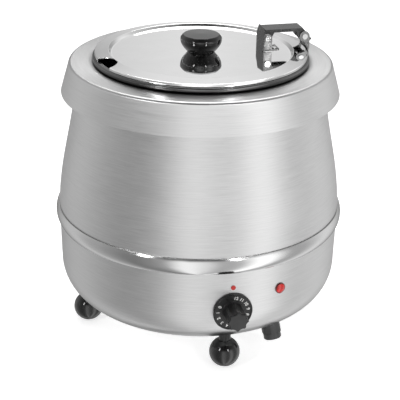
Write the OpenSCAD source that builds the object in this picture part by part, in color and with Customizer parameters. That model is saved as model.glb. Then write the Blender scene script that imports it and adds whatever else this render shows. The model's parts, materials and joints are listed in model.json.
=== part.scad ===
// Wet-heat soup kettle: a spun steel body on ball feet, a water well, a lift-out pot and a
// side-hinged lid. Millimetres, +Z up, origin on the floor under the kettle's axis.
// The front, where the thermostat dial is, faces -Y. The lid's hinge is at +X.

/* [Pot] */
// Outer radius of the pot's wall
pot_r = 117; // [95:1:145]
// Depth of the pot, from the underside of its rim to the underside of its bottom
pot_depth = 252; // [205:0.5:310]
// Thickness of the pot's wall
pot_t = 1; // [0.8:0.1:2]
// Outer radius of the pot's bottom corner
pot_corner_r = 30; // [15:1:45]
// How far the rolled rim stands out from the pot's wall
rim_w = 6.5; // [5:0.5:9]
// Height of the rolled rim
rim_h = 6.2; // [4:0.2:9]
// Free height left under the rim when the pot hangs in the collar
rim_gap = 0.3; // [0.2:0.1:0.5]

/* [Body] */
// Sheet thickness of the outer shells and the collar
shell_t = 1.2; // [0.8:0.1:2]
// Radial room between the water well and the neck of the upper shell
neck_room = 14.5; // [12:0.5:25]
// How much wider the waist is than the neck
flare = 23.5; // [10:0.5:40]
// How much narrower the lower shell is at its corner than at the waist
lower_taper = 1; // [0:0.5:4]
// Radius of the lower shell's bottom corner
corner_r = 45; // [35:1:60]
// Height of the waist seam over the underside
waist_h = 107; // [95:1:130]
// Height of the room for the electrics, from the underside to the well
service_h = 26; // [24:1:40]
// Height of the trim band
band_h = 18; // [12:1:26]
// How far the trim band stands out from the shells
band_proud = 4; // [2:0.5:6]

/* [Collar] */
// How far the collar's top runs out past the neck
collar_out = 7.5; // [4:0.5:14]
// How far the skirt's lower edge stands out from the collar's top edge
skirt_out = 10; // [6:0.5:16]
// Height of the collar's skirt
skirt_h = 35; // [25:1:45]
// Outer radius of the bend at the collar's top edge
collar_bend_r = 4; // [2:0.5:6]
// Radial gap between the collar's hole and the pot
pot_gap = 1.5; // [1:0.5:3]

/* [Water well] */
// Thickness of the well's sheet
well_t = 1; // [0.8:0.1:1.5]
// Water gap between the pot's wall and the well
water_gap = 10; // [6:0.5:16]
// Water gap under the pot
under_gap = 9; // [6:0.5:16]
// Outer radius of the well's bottom corner
well_corner_r = 26; // [12:1:40]

/* [Lid] */
// How far the lid runs out past the pot's wall
lid_over = 4; // [3:0.5:5.5]
// Sheet thickness of the lid
lid_t = 1; // [0.8:0.1:1.5]
// Height of the lid's flat centre over its seat
lid_flat_h = 1.7; // [1.2:0.1:3]
// Height of the lid's bead over its seat
lid_bead_h = 5.2; // [4:0.1:7]
// Height of the lid's edge over its seat
lid_edge_h = 3.3; // [2.5:0.1:5]
// Width of the raised border of the lid
lid_border_w = 16; // [12:0.5:22]
// Radius of the ladle notch
notch_r = 18; // [12:1:24]
// Angle of the ladle notch from the hinge
notch_az = 193; // [165:1:210]

/* [Knob] */
// Largest diameter of the lid knob
knob_d = 47.6; // [38:0.2:56]
// Diameter of the knob's flat top
knob_top_d = 40.6; // [32:0.2:46]
// Diameter of the knob's foot
knob_foot_d = 31; // [24:0.5:34]
// Height of the knob
knob_h = 21; // [18:0.5:28]

/* [Hinge] */
// Distance between the two hinge pins
pin_pitch = 43.8; // [38:0.2:50]
// Distance of the rear pin inwards from the lid's edge
pin_inset = 2; // [1:0.5:4]
// Height of the pins over the lid's flat centre
pin_rise = 15; // [13:0.5:18]
// Diameter of the hinge pins
pin_d = 4; // [3:0.5:5]
// Radial running clearance of the pins in the ears
pin_fit = 0.05; // [0.02:0.01:0.1]
// Outer width of the hinge arm
arm_w = 22; // [18:1:28]
// Sheet thickness of the hinge parts
hinge_t = 1.5; // [1.2:0.1:2]
// Side gap between the arm and the ears
ear_gap = 0.4; // [0.3:0.1:0.8]

/* [Feet] */
// Radius of a ball foot
foot_r = 17.6; // [15:0.2:22]
// Radius of the flat that a foot stands on
foot_flat_r = 4; // [2:0.5:6]
// Number of feet
foot_count = 4; // [3:1:4]
// Distance of a foot's centre inwards from the waist
foot_inset = 29.7; // [26:0.1:36]
// Height from the top of a ball to the body's underside
foot_gap = 1.2; // [0.5:0.1:4]

/* [Controls] */
// Height of the dial's axis over the underside
dial_h = 50; // [48:1:70]
// Diameter of the dial
dial_d = 44.6; // [36:0.2:50]
// Diameter of the dial's grip
grip_d = 24; // [18:0.5:30]
// Length of the dial's grip
grip_l = 22; // [15:0.5:28]
// Diameter of the thermostat shaft
shaft_d = 6; // [5:0.5:8]
// Height of the red index dot over the underside
dot_h = 79.5; // [77:0.5:96]
// Diameter of the red index dot
dot_d = 5.4; // [3:0.2:8]
// Angle of the pilot lamp from the dial
lamp_az = 20; // [16:1:40]
// Height of the pilot lamp over the underside
lamp_h = 67.5; // [60:0.5:80]
// Outer diameter of the pilot lamp
lamp_d = 12.4; // [10:0.2:16]

/* [Cable gland] */
// Angle of the gland from the dial
gland_az = 24; // [20:1:32]
// Tilt of the gland from straight down
gland_tilt = 20; // [10:1:30]
// Width of the gland over its flats
gland_w = 21; // [18:0.5:24]
// Radius of the cable's bore
cable_r = 4.3; // [3:0.1:5]

/* [Hidden] */

$fn = 96;
eps = 0.01;

// Heights, from the floor up
foot_z = sqrt(foot_r * foot_r - foot_flat_r * foot_flat_r);
base_z = foot_z + foot_r + foot_gap;
well_z = base_z + service_h;
pot_z = well_z + well_t + under_gap;
collar_z = pot_z + pot_depth - rim_gap;
shell_top_z = collar_z - shell_t - well_t;
seat_z = collar_z + rim_gap + rim_h;
lid_seat_gap = 0.3;
lid_z = seat_z + lid_seat_gap;
lid_flat_z = lid_z + lid_flat_h;
waist_z = base_z + waist_h;

// Radii, from the pot out
well_r = pot_r + water_gap + well_t;
neck_r = well_r + neck_room;
waist_r = neck_r + flare;
corner_in_r = waist_r - lower_taper - corner_r;
corner_z = base_z + corner_r;
collar_r = neck_r + collar_out;
skirt_r = collar_r + skirt_out;
lid_r = pot_r + lid_over;
foot_circle_r = waist_r - foot_inset;

// Bottom opening and its cover
opening_r = 96;
cover_r = 106;
cover_t = 1.2;
screw_circle_r = 101;
screw_count = 6;
screw_r = 2;
head_r = 3.8;
head_h = 1.6;
vent_r = 4;
vent_circle_r = 52;
vent_count = 12;

// Controls
dial_z = base_z + dial_h;
dot_z = base_z + dot_h;
lamp_z = base_z + lamp_h;
dial_t = 2.2;
dial_back = 1;
dial_lip = 1.2;
dial_y = lower_r(dial_z) + dial_back;
grip_flutes = 8;
flute_r = 5;
shaft_fit = 0.05;
bush_r = 5;
bush_hole_r = 5.2;
stat_w = 36;
stat_h = 32;
stat_l = 24;
stat_y = lower_r(dial_z) - 6;
stat_screw_x = 14;
lamp_hole_r = 4.9;
lamp_body_r = 4.8;
lamp_body_l = 20;

// Hinge
pin_z = lid_flat_z + pin_rise;
pin_x = lid_r - pin_inset;
front_pin_x = pin_x - pin_pitch;
pin_r = pin_d / 2;
arm_top = 9.4;
flange_h = 3.6;
ear_y = arm_w / 2 + ear_gap;
ear_r = 6;
front_ear_r = 5;
stop_gap = 0.5;
plate_x = front_pin_x - 5;
pin_head_r = 3.2;
pin_head_t = 1;
saddle_h = 9.5;
saddle_lift = 0.5;
saddle_a = 6.3;
rivet_r = 1.5;

// Gland
gland_seat_r = 139;
gland_seat_z = lower_z(gland_seat_r);
gland_nut_l = 9;
gland_cap_l = 7.5;
gland_stem_r = 7;
gland_stem_l = 12;
gland_stem_up = 4;
gland_neck_r = gland_stem_r - 1;

// Heating element
element_r = 4;
element_ring_r = 80;
element_gap = 0.2;
element_gap_a = 36;
element_z = well_z - element_r - element_gap;
strap_t = 1.5;
strap_az = [60, 180, 300];
stud_offset = 9;

// A point at radius r and angle a around centre c
function at(c, r, a) = [c[0] + r * cos(a), c[1] + r * sin(a)];
// An arc of n steps around centre c
function arc(c, r, a0, a1, n) = [for (i = [0:n]) at(c, r, a0 + (a1 - a0) * i / n)];
// Outer radius of the lower shell at height z
function lower_r(z) = z < corner_z
    ? corner_in_r + sqrt(pow(corner_r, 2) - pow(corner_z - z, 2))
    : waist_r - lower_taper * (waist_z - z) / (waist_z - corner_z);
// Height of the lower shell's outside at radius r on its bottom corner
function lower_z(r) = corner_z - sqrt(pow(corner_r, 2) - pow(r - corner_in_r, 2));
// Outer radius of the upper shell at height z
function upper_r(z) = neck_r + flare / 2 * (1 + cos(180 * (z - waist_z) / (shell_top_z - waist_z)));
// A polygon ring from an outer and an inner list of points
function band(outer, inner) = concat(outer, [for (i = [len(inner) - 1:-1:0]) inner[i]]);

module steel() color([0.78, 0.78, 0.79]) children();
module bright() color([0.88, 0.88, 0.9]) children();
module black() color([0.07, 0.07, 0.07]) children();
module brass() color([0.78, 0.62, 0.3]) children();

// Places children at the front, their +Z pointing out of the body at height z
module facing(z, a = 0) rotate([0, 0, a]) translate([0, 0, z]) rotate([90, 0, 0]) children();

// Repeats children n times around the kettle's axis
module around(n, a0 = 0) for (i = [0:n - 1]) rotate([0, 0, a0 + 360 * i / n]) children();

// The space inside the lower shell's surface, moved in by inset
module lower_space(inset) {
    rotate_extrude()
        polygon(concat([[0, waist_z], [0, base_z + inset]],
            arc([corner_in_r, corner_z], corner_r - inset, -90, 0, 24),
            [[waist_r - inset, waist_z]]));
}

// A hexagon nut of width w across its flats, with a round hole
module nut(w, h, hole) {
    difference() {
        cylinder(r = w / sqrt(3), h = h, $fn = 6);
        translate([0, 0, -eps]) cylinder(r = hole, h = h + 2 * eps);
    }
}

// A round run of radius r through a list of points
module run(points, r) {
    for (i = [0:len(points) - 2]) {
        d = points[i + 1] - points[i];
        l = norm(d);
        translate(points[i]) rotate([0, acos(d[2] / l), atan2(d[1], d[0])])
            translate([0, 0, -r / 2]) cylinder(r = r, h = l + r);
    }
}

module upper_shell() {
    steps = 28;
    flange_r = well_r + 3;
    heights = [for (i = [0:steps]) waist_z + (shell_top_z - waist_z) * i / steps];
    outer = [for (z = heights) [upper_r(z), z]];
    inner = [for (z = heights) [upper_r(z) - shell_t, min(z, shell_top_z - shell_t)]];
    steel() rotate_extrude()
        polygon(band(concat(outer, [[flange_r, shell_top_z]]),
            concat(inner, [[flange_r, shell_top_z - shell_t]])));
}

module lower_shell() {
    c = [corner_in_r, corner_z];
    outer = concat([[opening_r, base_z]], arc(c, corner_r, -90, 0, 24), [[waist_r, waist_z]]);
    inner = concat([[opening_r, base_z + shell_t]], arc(c, corner_r - shell_t, -90, 0, 24),
        [[waist_r - shell_t, waist_z]]);
    steel() difference() {
        rotate_extrude() polygon(band(outer, inner));
        facing(dial_z) translate([0, 0, stat_y]) cylinder(r = bush_hole_r, h = 2 * dial_back + 8);
        for (s = [-1, 1]) facing(dial_z)
            translate([s * stat_screw_x, 0, stat_y]) cylinder(r = screw_r, h = 12);
        facing(lamp_z, lamp_az) translate([0, 0, waist_r - 12]) cylinder(r = lamp_hole_r, h = 16);
        around(foot_count) translate([0, -foot_circle_r, base_z]) cylinder(r = 3, h = 16);
        around(screw_count, 30) translate([0, -screw_circle_r, base_z - 1])
            cylinder(r = screw_r, h = 4);
        at_gland() translate([0, 0, -8]) cylinder(r = gland_stem_r, h = 12);
    }
}

module trim_band() {
    crown_r = band_h * 0.9;
    half = asin(band_h / 2 / crown_r);
    crown = arc([waist_r + band_proud - crown_r, waist_z], crown_r, -half, half, 12);
    bright() rotate_extrude()
        polygon(concat([[waist_r + 0.1, waist_z - band_h / 2]], crown,
            [[waist_r + 0.1, waist_z + band_h / 2], [waist_r, waist_z]]));
}

module collar() {
    lean = atan(skirt_out / skirt_h);
    hole_r = pot_r + pot_gap;
    centre = [collar_r - collar_bend_r * tan((90 - lean) / 2), collar_z - collar_bend_r];
    edge_z = collar_z - skirt_h;
    outer = concat([[hole_r, collar_z]], arc(centre, collar_bend_r, 90, lean, 6),
        [[skirt_r, edge_z]]);
    inner = concat([[hole_r, collar_z - shell_t]],
        arc(centre, collar_bend_r - shell_t, 90, lean, 6),
        [[skirt_r - shell_t / cos(lean), edge_z]]);
    steel() rotate_extrude() polygon(band(outer, inner));
}

module water_well() {
    c = [well_r - well_corner_r, well_z + well_corner_r];
    flange_r = neck_r - 3;
    top_z = collar_z - shell_t;
    outer = concat([[0, well_z]], arc(c, well_corner_r, -90, 0, 10),
        [[well_r, top_z - well_t], [flange_r, top_z - well_t]]);
    inner = concat([[0, well_z + well_t]], arc(c, well_corner_r - well_t, -90, 0, 10),
        [[well_r - well_t, top_z], [flange_r, top_z]]);
    bright() rotate_extrude() polygon(band(outer, inner));
}

module base_plate() {
    steel() difference() {
        translate([0, 0, base_z - cover_t]) cylinder(r = cover_r, h = cover_t);
        around(screw_count, 30) translate([0, -screw_circle_r, base_z - 2])
            cylinder(r = screw_r, h = 4);
        around(vent_count) translate([0, -vent_circle_r, base_z - 2]) cylinder(r = vent_r, h = 4);
    }
}

module base_screws() {
    bright() around(screw_count, 30) translate([0, -screw_circle_r, base_z - cover_t - head_h]) {
        difference() {
            cylinder(r = head_r, h = head_h);
            translate([-head_r, -0.5, -eps]) cube([2 * head_r, 1, head_h / 2]);
        }
        translate([0, 0, head_h - eps]) cylinder(r = screw_r, h = 8);
    }
}

module foot(a) {
    ruff_r = 6.8;
    teeth = 14;
    black() rotate([0, 0, a]) translate([0, -foot_circle_r, 0]) difference() {
        union() {
            translate([0, 0, foot_z]) sphere(r = foot_r);
            translate([0, 0, foot_z]) linear_extrude(base_z + 10 - foot_z) difference() {
                circle(r = ruff_r);
                for (i = [0:teeth - 1]) rotate(360 * i / teeth)
                    translate([ruff_r + 0.3, 0]) circle(r = 0.9, $fn = 16);
            }
        }
        translate([0, 0, -foot_r]) cylinder(r = foot_r, h = foot_r);
        translate([0, 0, foot_z]) cylinder(r = 3, h = base_z);
        translate([0, foot_circle_r, 0]) rotate([0, 0, -a]) lower_space(0);
    }
}

module foot_front() foot(0);
module foot_right() foot(90);
module foot_back() foot(180);
module foot_left() foot(270);

foot_stud_top = lower_z(foot_circle_r) + 18;

module foot_studs() {
    bright() around(foot_count) translate([0, -foot_circle_r, foot_z])
        cylinder(r = 3, h = foot_stud_top - foot_z);
}

foot_wedge_h = 10;
foot_wedge_z = lower_z(foot_circle_r) + foot_wedge_h;

module foot_wedge_washers() {
    bright() intersection() {
        around(foot_count) translate([0, -foot_circle_r, base_z]) difference() {
            cylinder(r = 7, h = foot_wedge_z - base_z);
            translate([0, 0, -eps]) cylinder(r = 3, h = foot_wedge_z);
        }
        lower_space(shell_t);
    }
}

module foot_nuts() {
    bright() around(foot_count) translate([0, -foot_circle_r, foot_wedge_z]) nut(10, 5, 3);
}

// Places children on the bottom corner where the gland sits, their +Z pointing out along it
module at_gland() {
    rotate([0, 0, gland_az]) translate([0, -gland_seat_r, gland_seat_z])
        rotate([180 - gland_tilt, 0, 0]) children();
}

module cable_gland_body() {
    color([0.2, 0.2, 0.2]) difference() {
        at_gland() union() {
            translate([0, 0, -6]) intersection() {
                cylinder(r = gland_w / sqrt(3), h = gland_nut_l + 6, $fn = 6);
                cylinder(r = gland_w / 2 + 0.7, h = gland_nut_l + 6);
            }
        }
        lower_space(0);
        at_gland() translate([0, 0, -20]) cylinder(r = gland_neck_r, h = 40);
        at_gland() translate([0, 0, -20]) cylinder(r = gland_stem_r, h = gland_stem_up + 20);
    }
}

module cable_gland_cap() {
    color([0.16, 0.16, 0.16]) at_gland() difference() {
        union() {
            translate([0, 0, gland_nut_l]) cylinder(r = gland_w / 2 - 0.4, h = gland_cap_l - 1);
            translate([0, 0, gland_nut_l + gland_cap_l - 1]) cylinder(r = gland_w / 2 - 1.4, h = 1);
            translate([0, 0, -gland_stem_l])
                cylinder(r = gland_stem_r, h = gland_stem_l + gland_stem_up);
            translate([0, 0, gland_stem_up])
                cylinder(r = gland_neck_r, h = gland_nut_l - gland_stem_up + eps);
        }
        translate([0, 0, -20]) cylinder(r = cable_r, h = 60);
    }
}

gland_wedge_h = 8;

module gland_wedge_washer() {
    bright() intersection() {
        at_gland() translate([0, 0, -gland_wedge_h]) difference() {
            cylinder(r = 11, h = gland_wedge_h + 8);
            translate([0, 0, -eps]) cylinder(r = gland_stem_r, h = 30);
        }
        lower_space(shell_t);
    }
}

module gland_locknut() {
    black() at_gland() translate([0, 0, -gland_wedge_h - 4]) nut(19, 4, gland_stem_r);
}

block_r = 66;
block_size = [40, 16, 11];

module terminal_block() {
    color([0.9, 0.9, 0.86]) rotate([0, 0, gland_az]) translate([0, -block_r, base_z])
        difference() {
            translate([-block_size[0] / 2, -block_size[1] / 2, 0]) cube(block_size);
            for (i = [-1:1]) translate([13 * i, 0, 4]) cylinder(r = 2.5, h = 10);
            for (i = [-1:1]) translate([13 * i, 9, 6]) rotate([90, 0, 0])
                cylinder(r = 1.6, h = 18);
        }
}

module terminal_screws() {
    brass() rotate([0, 0, gland_az]) for (i = [-1:1])
        translate([13 * i, -block_r, base_z + 4]) cylinder(r = 2.5, h = 5);
}

module earth_stud() {
    brass() rotate([0, 0, -40]) translate([0, -block_r, base_z]) {
        cylinder(r = 2.5, h = 12);
        nut(8, 4, 2.5 - eps);
    }
}

wire_r = 1.4;

module supply_wires() {
    color([0.5, 0.28, 0.16]) rotate([0, 0, gland_az]) for (i = [-1:1]) {
        x = 13 * i;
        run([[x, -block_r - 10, base_z + 6], [x, -block_r - 20, base_z + 6],
            [x / 3, -block_r - 34, base_z + 9], [x / 3, -gland_seat_r + 16, base_z + 16]], wire_r);
    }
}

module control_wires() {
    start_y = stat_l / 2 - stat_y;
    start_z = dial_z - stat_h / 2 - 1.5 * wire_r;
    color([0.25, 0.3, 0.55]) for (i = [-1, 1])
        run([[11 * i, start_y, start_z], [6 * i, -84, base_z + 6]], wire_r);
}

module thermostat_body() {
    color([0.85, 0.84, 0.8]) facing(dial_z) difference() {
        translate([-stat_w / 2, -stat_h / 2, stat_y - stat_l]) cube([stat_w, stat_h, stat_l]);
        for (s = [-1, 1]) translate([s * stat_screw_x, 0, stat_y - 8])
            cylinder(r = screw_r, h = 12);
        translate([0, 0, stat_y - 14]) cylinder(r = shaft_d / 2 + shaft_fit, h = 20);
    }
}

module thermostat_bush() {
    bright() facing(dial_z) difference() {
        translate([0, 0, stat_y]) cylinder(r = bush_r, h = dial_y - 0.4 - stat_y);
        translate([0, 0, stat_y - 1]) cylinder(r = shaft_d / 2 + shaft_fit, h = 20);
    }
}

module thermostat_screws() {
    head_in = stat_screw_x - head_r;
    head_z = lower_r(dial_z) - pow(head_in, 2) / (2 * lower_r(dial_z)) + 0.02;
    bright() for (s = [-1, 1]) facing(dial_z) translate([s * stat_screw_x, 0, 0]) {
        translate([0, 0, head_z]) cylinder(r = head_r, h = 1);
        translate([0, 0, stat_y - 7]) cylinder(r = screw_r, h = head_z - stat_y + 7.1);
    }
}

bulb_r = 3;
bulb_l = 60;
bulb_az = -52;
bulb_circle_r = well_r + bulb_r + 0.2;
tube_r = 0.9;
tube_circle_r = well_r + 8;
tube_z = dial_z + 24;

module capillary_tube() {
    start_az = -6;
    color([0.72, 0.45, 0.3]) {
        rotate([0, 0, -90 + bulb_az + 6]) rotate_extrude(angle = start_az - bulb_az - 6)
            translate([tube_circle_r, tube_z]) circle(r = tube_r, $fn = 16);
        rotate([0, 0, start_az]) run([[0, -tube_circle_r, tube_z],
            [0, -stat_y + stat_l / 2, tube_z],
            [0, -stat_y + stat_l / 2, dial_z + stat_h / 2 + tube_r]], tube_r);
        run([[sin(bulb_az + 6) * tube_circle_r, -cos(bulb_az + 6) * tube_circle_r, tube_z],
            [sin(bulb_az) * bulb_circle_r, -cos(bulb_az) * bulb_circle_r, tube_z + 12],
            [sin(bulb_az) * bulb_circle_r, -cos(bulb_az) * bulb_circle_r, tube_z + 20 - tube_r]],
            tube_r);
    }
}

module sensor_bulb() {
    color([0.8, 0.5, 0.35]) rotate([0, 0, bulb_az]) translate([0, -bulb_circle_r, tube_z + 20])
        cylinder(r = bulb_r, h = bulb_l);
}

module bulb_clip() {
    bright() rotate([0, 0, bulb_az]) translate([0, -bulb_circle_r, tube_z + 40]) difference() {
        intersection() {
            translate([-8, -bulb_r - 1, 0]) cube([16, 2 * bulb_r + 1.2, 14]);
            union() {
                cylinder(r = bulb_r + 1, h = 14);
                translate([-8, bulb_r - 1.6, 0]) cube([16, 1, 14]);
            }
        }
        translate([0, 0, -eps]) cylinder(r = bulb_r, h = 20);
        translate([0, bulb_circle_r, -eps]) cylinder(r = well_r, h = 20);
    }
}

module limit_cutout() {
    cutout_h = 7;
    color([0.3, 0.28, 0.25]) translate([0, 0, well_z - cutout_h]) {
        cylinder(r = 8.5, h = cutout_h);
        for (s = [-1, 1]) translate([s * 10.5 - 3, -3, 3]) cube([6, 6, 0.8]);
    }
}

module heating_element() {
    color([0.35, 0.34, 0.33]) {
        rotate([0, 0, -90 + element_gap_a / 2]) rotate_extrude(angle = 360 - element_gap_a)
            translate([element_ring_r, element_z]) circle(r = element_r, $fn = 32);
        for (s = [-1, 1]) rotate([0, 0, s * element_gap_a / 2])
            translate([0, -element_ring_r, element_z - 9]) {
                translate([0, 0, 9]) sphere(r = element_r, $fn = 32);
                cylinder(r = 2, h = 9);
            }
    }
}

module element_straps() {
    steel() for (a = strap_az) rotate([0, 0, a]) translate([0, -element_ring_r, 0]) difference() {
        translate([-7, -stud_offset - 5, element_z - element_r - strap_t])
            cube([14, 2 * stud_offset + 10, strap_t]);
        for (s = [-1, 1]) translate([0, s * stud_offset, element_z - 10]) cylinder(r = 2, h = 10);
    }
}

module element_studs() {
    bright() for (a = strap_az, s = [-1, 1]) rotate([0, 0, a])
        translate([0, -element_ring_r + s * stud_offset, element_z - element_r - strap_t - 4])
            cylinder(r = 2, h = well_z - element_z + element_r + strap_t + 4);
}

module element_nuts() {
    bright() for (a = strap_az, s = [-1, 1]) rotate([0, 0, a])
        translate([0, -element_ring_r + s * stud_offset, element_z - element_r - strap_t - 3.2])
            nut(7, 3.2, 2);
}

module index_dot() {
    dot_t = 0.5;
    color([0.8, 0.1, 0.08]) facing(dot_z) translate([0, 0, lower_r(dot_z + dot_d / 2) + eps])
        cylinder(r = dot_d / 2, h = dot_t);
}

lamp_y = lower_r(lamp_z);

module lamp_bezel() {
    black() difference() {
        facing(lamp_z, lamp_az) difference() {
            translate([0, 0, lamp_y - 2]) cylinder(r = lamp_d / 2, h = 3.4);
            translate([0, 0, lamp_y - 3]) cylinder(r = lamp_body_r, h = 12);
        }
        lower_space(0, $fn = 720);
    }
}

module lamp_lens() {
    lens_r = lamp_body_r + 0.5;
    dome_r = 12;
    color([0.85, 0.05, 0.05]) facing(lamp_z, lamp_az) {
        intersection() {
            translate([0, 0, lamp_y + 1.4]) cylinder(r = lens_r, h = 5);
            translate([0, 0, lamp_y + 2.8 - dome_r]) sphere(r = dome_r);
        }
        translate([0, 0, lamp_y - 1]) cylinder(r = lamp_body_r, h = 2.5);
    }
}

module lamp_body() {
    color([0.9, 0.88, 0.8]) facing(lamp_z, lamp_az)
        translate([0, 0, lamp_y - 1 - lamp_body_l]) cylinder(r = lamp_body_r, h = lamp_body_l);
}

module lamp_nut() {
    black() facing(lamp_z, lamp_az) translate([0, 0, lamp_y - shell_t - 4.6])
        nut(14, 4, lamp_body_r);
}

module dial_disc() {
    black() facing(dial_z) difference() {
        union() {
            translate([0, 0, dial_y]) cylinder(r = dial_d / 2, h = dial_t - 1);
            translate([0, 0, dial_y + dial_t - 1]) cylinder(r = dial_d / 2 - 0.8, h = 1);
        }
        translate([0, 0, dial_y + dial_t - dial_lip + 0.5])
            difference() {
                cylinder(r = dial_d / 2 - 1.8, h = 2);
                translate([0, 0, -1]) cylinder(r = grip_d / 2 + 1.5, h = 4);
            }
        translate([0, 0, dial_y - 1]) cylinder(r = shaft_d / 2, h = 12);
    }
}

module dial_grip() {
    grip_y = dial_y + dial_t;
    black() facing(dial_z) difference() {
        union() {
            translate([0, 0, grip_y]) linear_extrude(grip_l - 1.2) grip_outline(0);
            translate([0, 0, grip_y + grip_l - 1.2]) linear_extrude(1.2) grip_outline(0.8);
        }
        translate([0, 0, grip_y - 1]) cylinder(r = shaft_d / 2, h = 13);
    }
}

// The fluted outline of the grip, moved in by inset
module grip_outline(inset) {
    difference() {
        circle(r = grip_d / 2 - inset);
        for (i = [0:grip_flutes - 1]) rotate(360 * (i + 0.5) / grip_flutes)
            translate([grip_d / 2 + flute_r - 1.8, 0]) circle(r = flute_r + inset, $fn = 48);
    }
}

module dial_shaft() {
    bright() facing(dial_z) translate([0, 0, stat_y - 10])
        cylinder(r = shaft_d / 2, h = dial_y + dial_t + 12 - stat_y + 10);
}

module inner_pot() {
    c = [pot_r - pot_corner_r, pot_z + pot_corner_r];
    rim_z = collar_z + rim_gap;
    round_r = 2.4;
    out_r = pot_r + rim_w;
    lip_h = 3.4;
    lip_w = 1.5;
    outer = concat([[0, pot_z]], arc(c, pot_corner_r, -90, 0, 12),
        [[pot_r, rim_z]],
        arc([out_r - round_r, rim_z + round_r], round_r, -90, 0, 6),
        arc([out_r - round_r, rim_z + rim_h - round_r], round_r, 0, 90, 6));
    inner = concat([[0, pot_z + pot_t]], arc(c, pot_corner_r - pot_t, -90, 0, 12),
        [[pot_r - pot_t, rim_z + rim_h - lip_h], [pot_r - pot_t + lip_w, rim_z + rim_h]]);
    bright() difference() {
        rotate_extrude() polygon(band(outer, inner));
        saddle_holes();
    }
}

module saddle_holes() {
    for (s = [-1, 1]) rotate([0, 0, s * saddle_a / 2])
        translate([pot_r + rim_w - 3.5, 0, collar_z + rim_gap + rim_h / 2]) rotate([0, 90, 0])
            cylinder(r = rivet_r, h = 8);
}

module rear_hinge_bracket() {
    saddle_r = pot_r + rim_w;
    saddle_z = collar_z + rim_gap + saddle_lift;
    steel() difference() {
        union() {
            rotate([0, 0, -saddle_a]) rotate_extrude(angle = 2 * saddle_a)
                translate([saddle_r, saddle_z]) square([hinge_t, saddle_h]);
            for (s = [-1, 1]) translate([0, s * (ear_y + hinge_t / 2) + hinge_t / 2, 0])
                rotate([90, 0, 0]) linear_extrude(hinge_t) {
                    translate([pin_x, pin_z]) circle(r = ear_r);
                    polygon([[pin_x - ear_r + 0.7, pin_z - 2.5], [pin_x + ear_r, pin_z],
                        [saddle_r + hinge_t + 0.1, saddle_z + saddle_h - 1],
                        [lid_r + 0.9, saddle_z + saddle_h - 1], [lid_r + 0.9, lid_z + 7]]);
                }
        }
        translate([pin_x, 40, pin_z]) rotate([90, 0, 0]) cylinder(r = pin_r + pin_fit, h = 80);
        saddle_holes();
    }
}

module rear_bracket_rivets() {
    saddle_r = pot_r + rim_w;
    bright() for (s = [-1, 1]) rotate([0, 0, s * saddle_a / 2])
        translate([saddle_r - 3.5, 0, collar_z + rim_gap + rim_h / 2]) rotate([0, 90, 0]) {
            cylinder(r = rivet_r, h = 3.5 + hinge_t);
            translate([0, 0, 3.5 + hinge_t]) cylinder(r = 2.6, h = 0.9);
        }
}

// The side outline of the arm, with the pins' places at its ends
module arm_side() {
    inner_x = plate_x + hinge_t + stop_gap;
    polygon([[inner_x, pin_z - 3], [inner_x, pin_z + arm_top], [pin_x - 2, pin_z + arm_top],
        [pin_x + 9, pin_z - 3.6], [pin_x + 1.6, pin_z - 10], [pin_x - 6.5, pin_z - 1],
        [pin_x - 9, pin_z + arm_top - flange_h], [front_pin_x + 8, pin_z + arm_top - flange_h],
        [front_pin_x + 4.6, pin_z]]);
    nose_r = front_ear_r - 0.6;
    intersection() {
        translate([front_pin_x, pin_z]) circle(r = nose_r);
        translate([inner_x, pin_z - nose_r]) square(2 * nose_r);
    }
}

// The folded top of the arm, as a line of the sheet's thickness seen from the side
module arm_cover() {
    inner_x = plate_x + hinge_t + stop_gap;
    polygon([[inner_x, pin_z + arm_top], [pin_x - 2, pin_z + arm_top],
        [pin_x + 9, pin_z - 3.6], [pin_x + 9 - 1.8, pin_z - 3.6 - 1.5],
        [pin_x - 2.7, pin_z + arm_top - hinge_t], [inner_x, pin_z + arm_top - hinge_t]]);
}

module hinge_arm() {
    steel() difference() {
        union() {
            for (s = [-1, 1]) translate([0, s * (arm_w / 2 - hinge_t / 2) + hinge_t / 2, 0])
                rotate([90, 0, 0]) linear_extrude(hinge_t) arm_side();
            translate([0, arm_w / 2, 0]) rotate([90, 0, 0]) linear_extrude(arm_w) arm_cover();
        }
        for (x = [front_pin_x, pin_x]) translate([x, 40, pin_z]) rotate([90, 0, 0])
            cylinder(r = pin_r, h = 80);
    }
}

// A headed pin across the hinge at distance x from the kettle's axis
module hinge_pin(x) {
    half = ear_y + hinge_t + 0.3;
    bright() translate([x, half, pin_z]) rotate([90, 0, 0]) {
        cylinder(r = pin_r, h = 2 * half);
        translate([0, 0, -pin_head_t]) cylinder(r = pin_head_r, h = pin_head_t);
        translate([0, 0, 2 * half]) cylinder(r = pin_head_r, h = pin_head_t);
    }
}

module rear_hinge_pin() hinge_pin(pin_x);
module front_hinge_pin() hinge_pin(front_pin_x);

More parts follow.
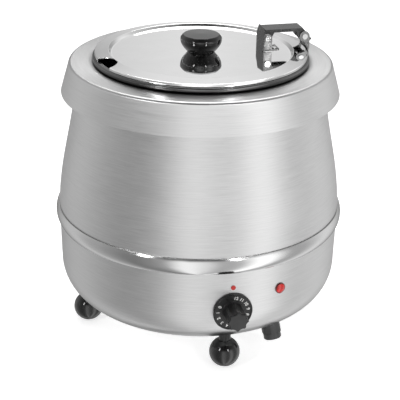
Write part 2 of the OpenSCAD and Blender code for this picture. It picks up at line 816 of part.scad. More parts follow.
module lid() {
    flat_r = lid_r - lid_border_w;
    top = [[0, lid_flat_z], [flat_r - 4, lid_flat_z], [flat_r - 2.6, lid_flat_z + 0.4],
        [flat_r - 0.6, lid_z + lid_bead_h - 0.5], [flat_r + 0.4, lid_z + lid_bead_h],
        [flat_r + 1.6, lid_z + lid_bead_h - 0.2], [lid_r - 0.8, lid_z + lid_edge_h],
        [lid_r - 0.2, lid_z + lid_edge_h - 0.3], [lid_r, lid_z + lid_edge_h - 0.9]];
    under = [[0, lid_flat_z - lid_t], [flat_r - 3.4, lid_flat_z - lid_t],
        [flat_r - 1.6, lid_flat_z - lid_t + 0.6], [flat_r + 0.2, lid_z + lid_bead_h - lid_t - 0.3],
        [flat_r + 1.4, lid_z + lid_bead_h - lid_t - 0.2],
        [lid_r - lid_t - 0.2, lid_z + lid_edge_h - lid_t], [lid_r - lid_t - 0.2, lid_z]];
    bright() difference() {
        rotate_extrude() polygon(band(concat(top, [[lid_r, lid_z]]), under));
        rotate([0, 0, notch_az]) translate([lid_r + 1, 0, lid_z - 4]) cylinder(r = notch_r, h = 20);
        translate([0, 0, lid_z - 4]) cylinder(r = 2.5, h = 20);
        bracket_rivet_places() cylinder(r = rivet_r, h = 20, center = true);
    }
}

module bracket_rivet_places() {
    for (s = [-1, 1]) translate([plate_x + 15, s * 5.5, lid_flat_z]) children();
}

module lid_bracket() {
    ear_z = lid_flat_z + 1.8;
    plate_h = 26;
    plate_back = 17;
    plate_front = ear_y + hinge_t;
    steel() difference() {
        union() {
            translate([plate_x, -9, lid_flat_z]) cube([20, 18, 1.2]);
            translate([plate_x, 0, lid_flat_z]) rotate([90, 0, 90]) linear_extrude(hinge_t)
                polygon([[-plate_front, 1.8], [-plate_front, plate_h - 2.5], [9, plate_h],
                    [plate_back, plate_h - 11], [plate_back, 0], [-9, 0], [-9, 1.8]]);
            for (s = [-1, 1]) translate([0, s * (ear_y + hinge_t / 2) + hinge_t / 2, 0])
                rotate([90, 0, 0]) linear_extrude(hinge_t) {
                    translate([front_pin_x, pin_z]) circle(r = front_ear_r);
                    polygon([[plate_x, ear_z], [front_pin_x + front_ear_r, ear_z],
                        [front_pin_x + front_ear_r, pin_z], [front_pin_x, pin_z + front_ear_r],
                        [plate_x, pin_z + front_ear_r]]);
                }
        }
        translate([front_pin_x, 40, pin_z]) rotate([90, 0, 0])
            cylinder(r = pin_r + pin_fit, h = 80);
        bracket_rivet_places() cylinder(r = rivet_r, h = 20, center = true);
    }
}

module lid_bracket_rivets() {
    bright() bracket_rivet_places() {
        translate([0, 0, -lid_t]) cylinder(r = rivet_r, h = lid_t + 1.2);
        translate([0, 0, 1.2]) cylinder(r = 2.6, h = 0.8);
        translate([0, 0, -lid_t - 0.8]) cylinder(r = 2.6, h = 0.8);
    }
}

module lid_knob() {
    wide_z = knob_h * 0.76;
    foot = knob_foot_d / 2;
    wide = knob_d / 2;
    top = knob_top_d / 2;
    steps = 12;
    foot_rise = 0.04;
    bulb_share = 0.86;
    flare_pts = [for (i = [0:steps]) [foot + (wide - 0.3 - foot) * sin(90 * i / steps),
        wide_z * (foot_rise + bulb_share * i / steps)]];
    crown_pts = [[wide - 0.2, wide_z - 1.2], [wide, wide_z], [wide - 0.4, wide_z + 1.4],
        [top + 0.8, knob_h - 1], [top, knob_h - 0.5], [0, knob_h]];
    black() translate([0, 0, lid_flat_z]) difference() {
        rotate_extrude() polygon(concat([[0, 0], [foot - 0.6, 0]], flare_pts, crown_pts));
        translate([0, 0, -eps]) cylinder(r = 2.5, h = knob_h - 7);
    }
}

module knob_screw() {
    bright() translate([0, 0, lid_flat_z - lid_t - 3.6]) {
        cylinder(r = 4.4, h = 2.6);
        cylinder(r = 2.5, h = 3.6 + lid_t + 10);
    }
}

module knob_washer() {
    bright() translate([0, 0, lid_flat_z - lid_t - 1]) difference() {
        cylinder(r = 7, h = 1);
        translate([0, 0, -eps]) cylinder(r = 2.5, h = 3);
    }
}

upper_shell();
lower_shell();
trim_band();
collar();
water_well();
base_plate();
base_screws();
foot_front();
foot_right();
foot_back();
foot_left();
foot_studs();
foot_wedge_washers();
foot_nuts();
cable_gland_body();
cable_gland_cap();
gland_wedge_washer();
gland_locknut();
terminal_block();
terminal_screws();
earth_stud();
supply_wires();
control_wires();
thermostat_body();
thermostat_bush();
thermostat_screws();
capillary_tube();
sensor_bulb();
bulb_clip();
limit_cutout();
heating_element();
element_straps();
element_studs();
element_nuts();
index_dot();
lamp_bezel();
lamp_lens();
lamp_body();
lamp_nut();
dial_disc();
dial_grip();
dial_shaft();
inner_pot();
rear_hinge_bracket();
rear_bracket_rivets();
hinge_arm();
rear_hinge_pin();
front_hinge_pin();
lid();
lid_bracket();
lid_bracket_rivets();
lid_knob();
knob_screw();
knob_washer();
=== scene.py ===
"""Looks of the soup kettle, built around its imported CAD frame.

Metres, +Z up, the floor at z 0 and the body's axis on Z. The thermostat dial faces -Y and the
lid's hinge is at +X. Sizes called mm are millimetres, the same values as in the CAD source.
"""

import json
import math

import bmesh
import bpy
from mathutils import Matrix, Vector


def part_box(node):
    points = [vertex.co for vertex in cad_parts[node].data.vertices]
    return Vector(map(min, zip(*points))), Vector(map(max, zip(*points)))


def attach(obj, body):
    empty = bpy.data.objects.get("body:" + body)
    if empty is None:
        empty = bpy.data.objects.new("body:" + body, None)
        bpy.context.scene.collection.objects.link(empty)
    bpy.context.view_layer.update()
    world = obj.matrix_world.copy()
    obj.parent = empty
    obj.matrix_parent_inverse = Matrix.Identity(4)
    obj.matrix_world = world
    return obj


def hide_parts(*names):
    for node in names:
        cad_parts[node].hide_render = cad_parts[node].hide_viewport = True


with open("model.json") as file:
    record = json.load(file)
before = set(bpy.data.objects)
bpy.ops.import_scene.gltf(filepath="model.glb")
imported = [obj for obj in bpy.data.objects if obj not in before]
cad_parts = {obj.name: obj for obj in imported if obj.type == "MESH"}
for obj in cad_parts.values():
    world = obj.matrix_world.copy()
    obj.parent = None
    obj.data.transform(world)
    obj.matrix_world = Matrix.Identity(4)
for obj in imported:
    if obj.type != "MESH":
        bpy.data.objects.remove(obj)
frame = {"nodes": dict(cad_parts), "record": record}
NODES = frame["nodes"]
BODY_OF = {
    node: body
    for body, members in frame["record"]["behaviour"]["bodies"].items()
    for node in members
}
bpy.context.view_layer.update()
MM = 0.001

# ---------------------------------------------------------------- camera

VIEW_AZ = math.radians(13.8)  # the camera stands this far round from the dial, to its left
CAM_R = 1.248  # its distance from the body's axis, and its height
CAM_H = 0.7158
PITCH = 0.4252  # radians down from level, and round its own axis
ROLL = 0.0165
SENSOR, LENS = 36, 102.43
SHIFT_X, SHIFT_Y = 0.0036, -0.0083


def make_camera():
    out = Vector((-math.sin(VIEW_AZ), -math.cos(VIEW_AZ), 0))
    side = Vector((math.cos(VIEW_AZ), -math.sin(VIEW_AZ), 0))
    ahead = -out * math.cos(PITCH) - Vector((0, 0, math.sin(PITCH)))
    up = -out * math.sin(PITCH) + Vector((0, 0, math.cos(PITCH)))
    right = side * math.cos(ROLL) + up * math.sin(ROLL)
    top = up * math.cos(ROLL) - side * math.sin(ROLL)
    data = bpy.data.cameras.new("camera")
    data.sensor_width = SENSOR
    data.lens = LENS
    data.shift_x = SHIFT_X
    data.shift_y = SHIFT_Y
    data.clip_start = 0.05
    data.clip_end = 40
    cam = bpy.data.objects.new("camera", data)
    place = out * CAM_R + Vector((0, 0, CAM_H))
    turn = Matrix((right, top, -ahead)).transposed()
    cam.matrix_world = Matrix.Translation(place) @ turn.to_4x4()
    bpy.context.scene.collection.objects.link(cam)
    bpy.context.scene.camera = cam


make_camera()
bpy.context.scene.view_settings.view_transform = "Standard"
bpy.context.scene.view_settings.look = "None"

# ---------------------------------------------------------------- light


def grey(v):
    return (v, v, v, 1)


# Brightness of the studio's walls, by angle round the object from the camera's side, + to the right
WALLS = [
    (-180, 1.00), (-165, 0.42), (-148, 0.52), (-128, 0.92), (-110, 1.10), (-95, 0.88),
    (-78, 0.70), (-62, 0.50), (-52, 0.42), (-42, 0.47), (-32, 0.60), (-23, 0.90), (-15, 1.85),
    (-6, 2.10), (2, 1.80), (10, 1.45), (18, 0.98), (27, 0.95), (35, 1.25), (44, 2.25),
    (52, 2.65), (60, 2.35), (70, 1.20), (82, 0.84), (95, 1.05), (115, 1.45), (135, 1.00),
    (160, 0.45), (180, 1.00),
]
WALL_TOP, SKY_FROM = 0.28, 0.62  # the walls fade into the sky between these rises, as sines
SKY_MIDDLE, SKY_SWING = 0.55, 0.48
BACKDROP = 0.97  # what the camera sees behind everything


def make_world():
    world = bpy.data.worlds.new("studio")
    world.use_nodes = True
    tree = world.node_tree
    tree.nodes.clear()
    new, link = tree.nodes.new, tree.links.new

    def maths(op, a, b=None):
        n = new("ShaderNodeMath")
        n.operation = op
        for i, v in enumerate((a, b)):
            if v is None:
                continue
            if isinstance(v, (int, float)):
                n.inputs[i].default_value = v
            else:
                link(v, n.inputs[i])
        return n.outputs[0]

    coord = new("ShaderNodeTexCoord")
    parts = new("ShaderNodeSeparateXYZ")
    link(coord.outputs["Generated"], parts.inputs[0])
    angle = maths("ARCTAN2", parts.outputs[0], maths("MULTIPLY", parts.outputs[1], -1))
    turn = maths("FRACT", maths("MULTIPLY", maths("ADD", angle, VIEW_AZ + math.pi), 0.5 / math.pi))
    ramp = new("ShaderNodeValToRGB")
    ramp.color_ramp.interpolation = "CARDINAL"
    stops = ramp.color_ramp.elements
    top = max(v for _, v in WALLS)
    for i, (deg, v) in enumerate(WALLS):
        at = min((deg + 180) / 360, 1)
        e = stops[i] if i < 2 else stops.new(at)
        e.position = at
        e.color = grey(v / top)
    link(turn, ramp.inputs[0])
    walls = maths("MULTIPLY", ramp.outputs[0], top)
    height = new("ShaderNodeMapRange")
    height.interpolation_type = "SMOOTHSTEP"
    height.inputs["From Min"].default_value = WALL_TOP
    height.inputs["From Max"].default_value = SKY_FROM
    link(parts.outputs[2], height.inputs["Value"])
    mix = new("ShaderNodeMix")
    mix.data_type = "FLOAT"
    link(height.outputs[0], mix.inputs[0])
    link(walls, mix.inputs[2])
    # Higher up, the side behind the camera is dark and the far side is bright
    facing = maths("COSINE", maths("ADD", angle, VIEW_AZ))
    link(maths("SUBTRACT", SKY_MIDDLE, maths("MULTIPLY", facing, SKY_SWING)), mix.inputs[3])
    light = new("ShaderNodeBackground")
    link(mix.outputs[0], light.inputs["Strength"])
    pale = new("ShaderNodeBackground")
    pale.inputs["Color"].default_value = grey(BACKDROP)
    path = new("ShaderNodeLightPath")
    pick = new("ShaderNodeMixShader")
    link(path.outputs["Is Camera Ray"], pick.inputs[0])
    link(light.outputs[0], pick.inputs[1])
    link(pale.outputs[0], pick.inputs[2])
    out = new("ShaderNodeOutputWorld")
    link(pick.outputs[0], out.inputs[0])
    bpy.context.scene.world = world


LIGHT_AIM = Vector((0, 0, 0.2))


def area_light(name, turn_deg, rise_deg, dist, size, power):
    """A soft box at an angle round from the camera's side (+ right) and a rise over the horizon."""
    psi = math.radians(turn_deg) - VIEW_AZ
    rise = math.radians(rise_deg)
    way = Vector((math.sin(psi) * math.cos(rise), -math.cos(psi) * math.cos(rise), math.sin(rise)))
    data = bpy.data.lights.new(name, "AREA")
    data.shape = "RECTANGLE"
    data.size, data.size_y = size
    data.energy = power
    obj = bpy.data.objects.new(name, data)
    obj.location = LIGHT_AIM + way * dist
    obj.rotation_mode = "QUATERNION"
    obj.rotation_quaternion = way.to_track_quat("Z", "Y")
    bpy.context.scene.collection.objects.link(obj)


make_world()
area_light("top_light", 180, 68, 2.2, (1.6, 1.6), 22)
area_light("left_window", -42, 27, 2.0, (0.20, 0.56), 7)
area_light("right_window", 30, 27, 2.0, (0.15, 0.50), 4.5)

# ---------------------------------------------------------------- materials


NOISE_LO, NOISE_HI = 0.3, 0.7  # the part of a noise's range that carries tones and sheens


class Net:
    """A material around one Principled shader, with short calls to add and join nodes."""

    def __init__(self, name, **sockets):
        self.mat = bpy.data.materials.new(name)
        self.mat.use_nodes = True
        self.tree = self.mat.node_tree
        self.tree.nodes.clear()
        self.shader = self.node("BsdfPrincipled")
        out = self.node("OutputMaterial")
        self.join(self.shader.outputs[0], out.inputs["Surface"])
        for key, value in sockets.items():
            self.shader.inputs[key.replace("_", " ").title()].default_value = value

    def node(self, kind, **props):
        n = self.tree.nodes.new("ShaderNode" + kind)
        for key, value in props.items():
            setattr(n, key, value)
        return n

    def join(self, a, b):
        self.tree.links.new(a, b)

    def feed(self, socket, v):
        if hasattr(v, "links"):
            self.join(v, socket)
        else:
            socket.default_value = v

    def maths(self, op, *values):
        n = self.node("Math", operation=op)
        for i, v in enumerate(values):
            self.feed(n.inputs[i], v)
        return n.outputs[0]

    def place(self):
        return self.node("TexCoord").outputs["Object"]

    def split(self, vector):
        n = self.node("SeparateXYZ")
        self.join(vector, n.inputs[0])
        return n.outputs

    def vector(self, x, y, z):
        n = self.node("CombineXYZ")
        for i, v in enumerate((x, y, z)):
            self.feed(n.inputs[i], v)
        return n.outputs[0]

    def noise(self, vector, scale=1.0, detail=2.0, rough=0.5, w=None):
        n = self.node("TexNoise", noise_dimensions="3D" if w is None else "4D")
        self.join(vector, n.inputs["Vector"])
        if w is not None:
            self.feed(n.inputs["W"], w)
        n.inputs["Scale"].default_value = scale
        n.inputs["Detail"].default_value = detail
        n.inputs["Roughness"].default_value = rough
        return n.outputs[0]

    def fit(self, value, low, high):
        """A number from low to high as a noise goes over its middle range."""
        n = self.node("MapRange")
        self.join(value, n.inputs["Value"])
        n.inputs["From Min"].default_value = NOISE_LO
        n.inputs["From Max"].default_value = NOISE_HI
        n.inputs["To Min"].default_value = low
        n.inputs["To Max"].default_value = high
        return n.outputs[0]

    def tones(self, value, low, high):
        """The base colour, from low to high as value goes over a noise's middle range."""
        n = self.node("ValToRGB")
        n.color_ramp.elements[0].color = (*low, 1)
        n.color_ramp.elements[1].color = (*high, 1)
        n.color_ramp.elements[0].position = NOISE_LO
        n.color_ramp.elements[1].position = NOISE_HI
        self.join(value, n.inputs[0])
        self.join(n.outputs[0], self.shader.inputs["Base Color"])

    def bump(self, value, depth_mm, strength=1.0):
        n = self.node("Bump")
        n.inputs["Strength"].default_value = strength
        n.inputs["Distance"].default_value = depth_mm * MM
        self.join(value, n.inputs["Height"])
        self.join(n.outputs[0], self.shader.inputs["Normal"])


MEAN_R = 160.0  # a streak's length is given at this radius, in millimetres
CLOUD_SCALE, CLOUD_SHARE = 14, 0.2


def brushed(name, low, high, rough, spread, streak_mm, fine_mm, depth_mm, anisotropy, ring=True):
    """Sheet steel brushed round the kettle's axis: long thin streaks that run with the turning."""
    net = Net(name, metallic=1.0, anisotropic=anisotropy)
    x, y, z = net.split(net.place())
    square = net.maths("ADD", net.maths("MULTIPLY", x, x), net.maths("MULTIPLY", y, y))
    r = net.maths("SQRT", square)
    safe = net.maths("MAXIMUM", r, 1e-4)
    long = MEAN_R / streak_mm
    c = net.maths("MULTIPLY", net.maths("DIVIDE", x, safe), long)
    s = net.maths("MULTIPLY", net.maths("DIVIDE", y, safe), long)
    thin = 1.0 / (fine_mm * MM)
    streaks = net.noise(net.vector(c, s, net.maths("MULTIPLY", z, thin)), detail=3, rough=0.65,
                        w=net.maths("MULTIPLY", r, thin))
    cloud = net.noise(net.place(), scale=CLOUD_SCALE, detail=2)
    both = net.maths("ADD", net.maths("MULTIPLY", streaks, 1 - CLOUD_SHARE),
                     net.maths("MULTIPLY", cloud, CLOUD_SHARE))
    net.tones(both, low, high)
    net.join(net.fit(both, rough - spread, rough + spread), net.shader.inputs["Roughness"])
    net.bump(streaks, depth_mm)
    if ring:
        tangent = net.node("Tangent", direction_type="RADIAL", axis="Z")
        net.join(tangent.outputs[0], net.shader.inputs["Tangent"])
    return net.mat


def stained(mat, reach_lo, reach_hi, least):
    """Darkens a brushed sheet towards the pot: painted shade and painted dark reflection for the
    dark ring that shows under the lid.
    """
    tree = mat.node_tree
    new, link = tree.nodes.new, tree.links.new
    shader = next(n for n in tree.nodes if n.type == "BSDF_PRINCIPLED")
    tone = shader.inputs["Base Color"].links[0].from_socket
    r = next(n for n in tree.nodes if n.type == "MATH" and n.operation == "SQRT").outputs[0]
    reach = new("ShaderNodeMapRange")
    reach.interpolation_type = "SMOOTHSTEP"
    reach.inputs["From Min"].default_value = reach_lo * MM
    reach.inputs["From Max"].default_value = reach_hi * MM
    reach.inputs["To Min"].default_value = least
    link(r, reach.inputs["Value"])
    blend = new("ShaderNodeMix")
    blend.data_type = "RGBA"
    blend.blend_type = "MULTIPLY"
    blend.inputs[0].default_value = 1
    link(tone, blend.inputs[6])
    link(reach.outputs[0], blend.inputs[7])
    link(blend.outputs[2], shader.inputs["Base Color"])
    return mat


HAZE_SCALE, WAVE_SCALE, HAZE_DROP = 45, 22, 0.97


def polished(name, tone, rough, wave_mm):
    """Mirror-polished sheet: faint buffing haze and a very slight waviness of the pressed metal."""
    net = Net(name, metallic=1.0)
    place = net.place()
    haze = net.noise(place, scale=HAZE_SCALE, detail=4, rough=0.6)
    low = tuple(v * HAZE_DROP for v in tone)
    net.tones(haze, low, tone)
    net.join(net.fit(haze, rough * 0.6, rough * 1.5), net.shader.inputs["Roughness"])
    waves = net.noise(place, scale=WAVE_SCALE, detail=1)
    net.bump(waves, wave_mm)
    return net.mat


MOTTLE_SCALE = 60


def plastic(name, low, high, rough, grain_mm, depth_mm):
    """Moulded plastic: a fine skin grain, with a mottled sheen."""
    net = Net(name)
    place = net.place()
    grain = net.noise(place, scale=1 / (grain_mm * MM), detail=3)
    mottle = net.noise(place, scale=MOTTLE_SCALE, detail=3)
    net.tones(mottle, low, high)
    net.join(net.fit(mottle, rough * 0.8, rough * 1.2), net.shader.inputs["Roughness"])
    net.bump(grain, depth_mm)
    return net.mat


STAIN_SCALE, SPOT_SHARE, SPOT_DEEP = 120, 0.5, 0.01


def machined(name, low, high, rough, scale=900):
    """Turned or plated small metal parts: fine uneven sheen."""
    net = Net(name, metallic=1.0)
    place = net.place()
    spots = net.noise(place, scale=scale, detail=3)
    stain = net.noise(place, scale=STAIN_SCALE, detail=3)
    net.tones(net.maths("ADD", net.maths("MULTIPLY", spots, SPOT_SHARE),
                        net.maths("MULTIPLY", stain, 1 - SPOT_SHARE)), low, high)
    net.join(net.fit(stain, rough * 0.7, rough * 1.4), net.shader.inputs["Roughness"])
    net.bump(spots, SPOT_DEEP)
    return net.mat


def steel_tone(v):
    return (v, v, v)


MATS = {
    "shell": brushed("brushed_body", steel_tone(0.50), steel_tone(0.62), 0.33, 0.05, 26, 0.8,
                     0.010, 0.75),
    # The collar's top is darkened towards the pot: painted shade and painted dark reflection around
    # the pot's rim
    "collar": stained(
        brushed("brushed_collar", steel_tone(0.52), steel_tone(0.62), 0.34, 0.05, 40, 0.8, 0.008,
                0.7), 121, 130, 0.2),
    "lid": polished("polished_lid", (0.93, 0.93, 0.93), 0.035, 0.02),
    "band": polished("polished_band", (0.53, 0.53, 0.53), 0.13, 0.03),
    "pot": brushed("spun_pot", steel_tone(0.62), steel_tone(0.74), 0.22, 0.05, 60, 0.7, 0.006,
                   0.6),
    # The pot's rolled steel rim gets a near-black tone: painted shade and painted dark reflection
    # of the gap under the lid
    "rim": brushed("rolled_rim_painted_dark", steel_tone(0.05), steel_tone(0.22), 0.20, 0.05, 90, 0.5,
                   0.006, 0.4),
    "lamp_rim": plastic("dark_red_rim", (0.10, 0.004, 0.003), (0.17, 0.010, 0.008), 0.22, 0.4,
                        0.004),
    "hinge": machined("hinge_steel", steel_tone(0.05), steel_tone(0.09), 0.24, 300),
    "ear": machined("ear_steel", steel_tone(0.20), steel_tone(0.30), 0.38, 300),
    "pin": machined("plated_pin", steel_tone(0.70), steel_tone(0.82), 0.16),
    "plate": brushed("base_sheet", steel_tone(0.45), steel_tone(0.55), 0.35, 0.05, 20, 1.0,
                     0.01, 0.3, False),
    "knob": plastic("gloss_phenolic", (0.006, 0.006, 0.006), (0.012, 0.012, 0.012), 0.09, 0.5,
                    0.002),
    "ball": plastic("gloss_ball", (0.006, 0.006, 0.006), (0.013, 0.013, 0.013), 0.10, 0.6, 0.002),
    "dial": plastic("satin_dial", (0.008, 0.008, 0.008), (0.016, 0.016, 0.016), 0.32, 0.35, 0.01),
    "grip": plastic("satin_grip", (0.012, 0.012, 0.012), (0.022, 0.022, 0.022), 0.38, 0.3, 0.012),
    "gland": plastic("grey_nylon", (0.028, 0.028, 0.029), (0.060, 0.060, 0.062), 0.48, 0.4, 0.02),
    "ink": plastic("white_print", (0.70, 0.70, 0.69), (0.82, 0.82, 0.80), 0.5, 0.3, 0.004),
    "red": plastic("red_enamel", (0.36, 0.010, 0.008), (0.48, 0.020, 0.014), 0.35, 0.3, 0.006),
    "white": plastic("white_ceramic", (0.62, 0.60, 0.55), (0.74, 0.73, 0.68), 0.45, 0.6, 0.02),
    "brown": plastic("brown_sleeve", (0.10, 0.035, 0.015), (0.15, 0.06, 0.03), 0.45, 0.5, 0.01),
    "blue": plastic("blue_sleeve", (0.02, 0.04, 0.18), (0.03, 0.06, 0.26), 0.45, 0.5, 0.01),
    "dark": plastic("dark_moulding", (0.03, 0.025, 0.02), (0.055, 0.045, 0.04), 0.5, 0.4, 0.02),
    "brass": machined("brass", (0.55, 0.38, 0.12), (0.70, 0.52, 0.22), 0.28),
    "copper": machined("copper", (0.60, 0.28, 0.16), (0.74, 0.38, 0.24), 0.30),
    "element": machined("heated_sheath", (0.10, 0.085, 0.075), (0.20, 0.17, 0.15), 0.45, 400),
}


LENS_CELLS, LENS_GLOW = 620, 0.12


def lens_material():
    """The pilot lamp's red lens: clear coloured plastic over a faceted inside, faintly lit."""
    net = Net("red_lens", roughness=0.16, coat_weight=0.15, coat_roughness=0.05)
    cells = net.node("TexVoronoi")
    net.join(net.place(), cells.inputs["Vector"])
    cells.inputs["Scale"].default_value = LENS_CELLS
    net.tones(cells.outputs["Distance"], (0.55, 0.004, 0.003), (0.22, 0.001, 0.001))
    net.bump(cells.outputs["Distance"], 0.05, 0.5)
    net.shader.inputs["Emission Color"].default_value = (0.9, 0.02, 0.01, 1)
    net.shader.inputs["Emission Strength"].default_value = LENS_GLOW
    return net.mat


MATS["lens"] = lens_material()

# ---------------------------------------------------------------- pieces


def dress(obj, key):
    obj.data.materials.clear()
    obj.data.materials.append(MATS[key])


def new_piece(name, mesh, key, body):
    obj = bpy.data.objects.new(name, mesh)
    bpy.context.scene.collection.objects.link(obj)
    dress(obj, key)
    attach(obj, body)
    return obj


SHARP = math.radians(28)  # edges that turn more than this stay sharp, or are bevelled
WELD, SLIVER = 2e-6, 1e-7  # metres
ON_SHEET = 0.97  # cosine to the sheet's true normal, above which a face is on the sheet


def mark_sharp(bm):
    for e in bm.edges:
        e.smooth = len(e.link_faces) == 2 and e.calc_face_angle(0) < SHARP
    for f in bm.faces:
        f.smooth = True


def fine(node, key, bevel_mm=0.0, normal_of=None):
    """A joined-up copy of a CAD node with smooth shading, softened edges and a material."""
    bm = bmesh.new()
    bm.from_mesh(NODES[node].data)
    bmesh.ops.remove_doubles(bm, verts=bm.verts, dist=WELD)
    bmesh.ops.dissolve_degenerate(bm, edges=bm.edges, dist=SLIVER)
    mark_sharp(bm)
    mesh = bpy.data.meshes.new(node + "_look")
    bm.to_mesh(mesh)
    bm.free()
    if "custom_normal" in mesh.attributes:
        mesh.attributes.remove(mesh.attributes["custom_normal"])
    if normal_of:
        curved_normals(mesh, normal_of)
    obj = new_piece(node + "_look", mesh, key, BODY_OF[node])
    if bevel_mm:
        mod = obj.modifiers.new("edges", "BEVEL")
        mod.width = bevel_mm * MM
        mod.segments = 2
        mod.limit_method = "ANGLE"
        mod.angle_limit = SHARP
        mod.use_clamp_overlap = True
        mod.harden_normals = False
    if not normal_of:
        mod = obj.modifiers.new("normals", "WEIGHTED_NORMAL")
        mod.keep_sharp = True
    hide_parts(node)
    return obj


def curved_normals(mesh, normal_of):
    """Gives each face of a spun sheet the sheet's true normals, so facets and holes don't show."""
    loops = []
    for poly in mesh.polygons:
        true = normal_of(poly.center)
        side = poly.normal.dot(true)
        for i in poly.vertices:
            if abs(side) > ON_SHEET:
                n = normal_of(mesh.vertices[i].co) * (1 if side > 0 else -1)
            else:
                n = poly.normal
            loops.append(n)
    mesh.normals_split_custom_set(loops)


# The spun shells' outlines, in millimetres
WAIST_R, NECK_R, WAIST_Z, SHELL_TOP_Z = 166, 142.5, 142.939, 321.439
CORNER_R, CORNER_IN_R, CORNER_Z, TAPER = 45, 120, 80.939, 1


def spun(p, slope_r, slope_z):
    r = math.hypot(p.x, p.y)
    return Vector((p.x / r * slope_r, p.y / r * slope_r, slope_z)).normalized()


def upper_normal(p):
    t = math.pi * min(max((p.z / MM - WAIST_Z) / (SHELL_TOP_Z - WAIST_Z), 0), 1)
    lean = (WAIST_R - NECK_R) / 2 * math.pi / (SHELL_TOP_Z - WAIST_Z) * math.sin(t)
    return spun(p, 1, lean)


def lower_normal(p):
    r, z = math.hypot(p.x, p.y) / MM, p.z / MM
    if z >= CORNER_Z:
        return spun(p, 1, -TAPER / (WAIST_Z - CORNER_Z))
    if r < CORNER_IN_R:
        return Vector((0, 0, -1))
    return spun(p, r - CORNER_IN_R, z - CORNER_Z)


# Where the pot's rim starts, the pot's radius, and the back of the lid bracket's plate
RIM_Z, POT_R, PLATE_X = 323.9, 117, 71.9


def second_look(obj, key, belongs):
    """Gives the faces whose centres belong a second material."""
    obj.data.materials.append(MATS[key])
    for poly in obj.data.polygons:
        if belongs(poly.center):
            poly.material_index = 1


fine("upper_shell", "shell", normal_of=upper_normal)
fine("lower_shell", "shell", normal_of=lower_normal)
fine("trim_band", "band")
fine("collar", "collar", 0.25)
pot = fine("inner_pot", "pot")
# The pot's rim faces take the near-black rim steel, which is painted shade under the lid
second_look(pot, "rim", lambda c: c.z > RIM_Z * MM and math.hypot(c.x, c.y) > POT_R * MM)
fine("lid", "lid", 0.15)
fine("lid_knob", "knob")
for n in ("foot_front", "foot_right", "foot_back", "foot_left"):
    fine(n, "ball")
fine("hinge_arm", "hinge", 0.25)
bracket = fine("lid_bracket", "ear", 0.25)
second_look(bracket, "hinge", lambda c: c.x < PLATE_X * MM)
fine("rear_hinge_bracket", "ear", 0.25)
for n in ("rear_hinge_pin", "front_hinge_pin"):
    fine(n, "pin", 0.3)
fine("dial_disc", "dial", 0.15)
fine("dial_grip", "grip", 0.3)
fine("cable_gland_body", "gland", 0.4)
fine("cable_gland_cap", "gland", 0.4)
fine("lamp_bezel", "lamp_rim")
fine("lamp_lens", "lens")

KEEP = {
    "shell": ["water_well"],
    "plate": ["base_plate", "element_straps"],
    "pin": ["base_screws", "foot_studs", "foot_wedge_washers", "foot_nuts", "gland_wedge_washer",
            "thermostat_bush", "thermostat_screws", "element_studs", "element_nuts", "dial_shaft",
            "rear_bracket_rivets", "lid_bracket_rivets", "knob_screw", "knob_washer", "bulb_clip"],
    "dark": ["limit_cutout", "lamp_nut", "gland_locknut"],
    "white": ["terminal_block", "thermostat_body", "lamp_body"],
    "brass": ["terminal_screws", "earth_stud"],
    "copper": ["capillary_tube", "sensor_bulb"],
    "brown": ["supply_wires"],
    "blue": ["control_wires"],
    "element": ["heating_element"],
    "red": ["index_dot"],
}
for key, names in KEEP.items():
    for n in names:
        dress(NODES[n], key)

# The dial's numbers, printed on the disc's sunk ring
DIAL_Z = 85.939 * MM
PRINT_R = 17.0 * MM
RING_DEEP = 0.7
NUMBERS, LAST_AT, NUMBER_STEP = 13, 10, 24  # the last number's angle from the top, and the step
NUMBER_SIZE, INK_DEEP, INK_SPREAD = 5.2, 0.06, 0.1


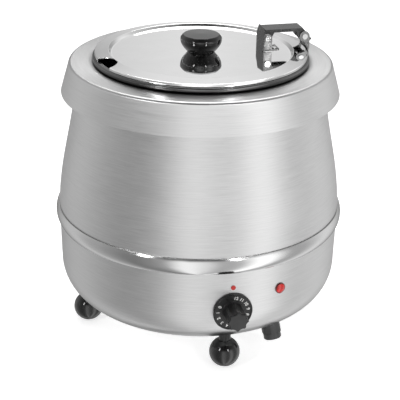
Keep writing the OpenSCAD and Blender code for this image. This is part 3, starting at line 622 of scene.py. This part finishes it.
def dial_numbers():
    lo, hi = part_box("dial_disc")
    face_y = lo.y + RING_DEEP * MM
    for k in range(NUMBERS):
        turn = math.radians(LAST_AT + (NUMBERS - 1 - k) * NUMBER_STEP)
        data = bpy.data.curves.new("number", "FONT")
        data.body = str(k)
        data.size = NUMBER_SIZE * MM
        data.align_x = "CENTER"
        data.align_y = "CENTER"
        data.extrude = INK_DEEP * MM
        data.offset = INK_SPREAD * MM
        tmp = bpy.data.objects.new("number", data)
        bpy.context.scene.collection.objects.link(tmp)
        bpy.context.view_layer.update()
        graph = bpy.context.evaluated_depsgraph_get()
        mesh = bpy.data.meshes.new_from_object(tmp.evaluated_get(graph))
        bpy.data.objects.remove(tmp)
        spin = Matrix.Rotation(-turn, 4, "Z")
        stand = Matrix.Translation((0, face_y, DIAL_Z)) @ Matrix.Rotation(math.pi / 2, 4, "X")
        mesh.transform(stand @ spin @ Matrix.Translation((0, PRINT_R, 0)))
        obj = new_piece("dial_number_%02d" % k, mesh, "ink", "dial")


dial_numbers()

# ---------------------------------------------------------------- floor


FLOOR_GLOW, FLOOR_PATCH, FLOOR_HALF = 0.62, 3, 6  # the last in metres


def make_floor():
    """A pale floor. Mirror rays pass through it, so the steel sees the studio's walls below too."""
    net = Net("pale_floor", roughness=0.9)
    net.shader.inputs["Specular IOR Level"].default_value = 0.1
    patch = net.noise(net.place(), scale=FLOOR_PATCH, detail=2)
    net.tones(patch, (0.90, 0.90, 0.90), (0.92, 0.92, 0.92))
    net.shader.inputs["Emission Color"].default_value = grey(1)
    net.shader.inputs["Emission Strength"].default_value = FLOOR_GLOW
    path = net.node("LightPath")
    clear = net.node("BsdfTransparent")
    pick = net.node("MixShader")
    net.join(path.outputs["Is Glossy Ray"], pick.inputs[0])
    net.join(net.shader.outputs[0], pick.inputs[1])
    net.join(clear.outputs[0], pick.inputs[2])
    out = next(n for n in net.tree.nodes if n.type == "OUTPUT_MATERIAL")
    net.join(pick.outputs[0], out.inputs["Surface"])
    bm = bmesh.new()
    bmesh.ops.create_grid(bm, x_segments=4, y_segments=4, size=FLOOR_HALF)
    mesh = bpy.data.meshes.new("floor")
    bm.to_mesh(mesh)
    bm.free()
    floor = bpy.data.objects.new("floor", mesh)
    mesh.materials.append(net.mat)
    bpy.context.scene.collection.objects.link(floor)


make_floor()
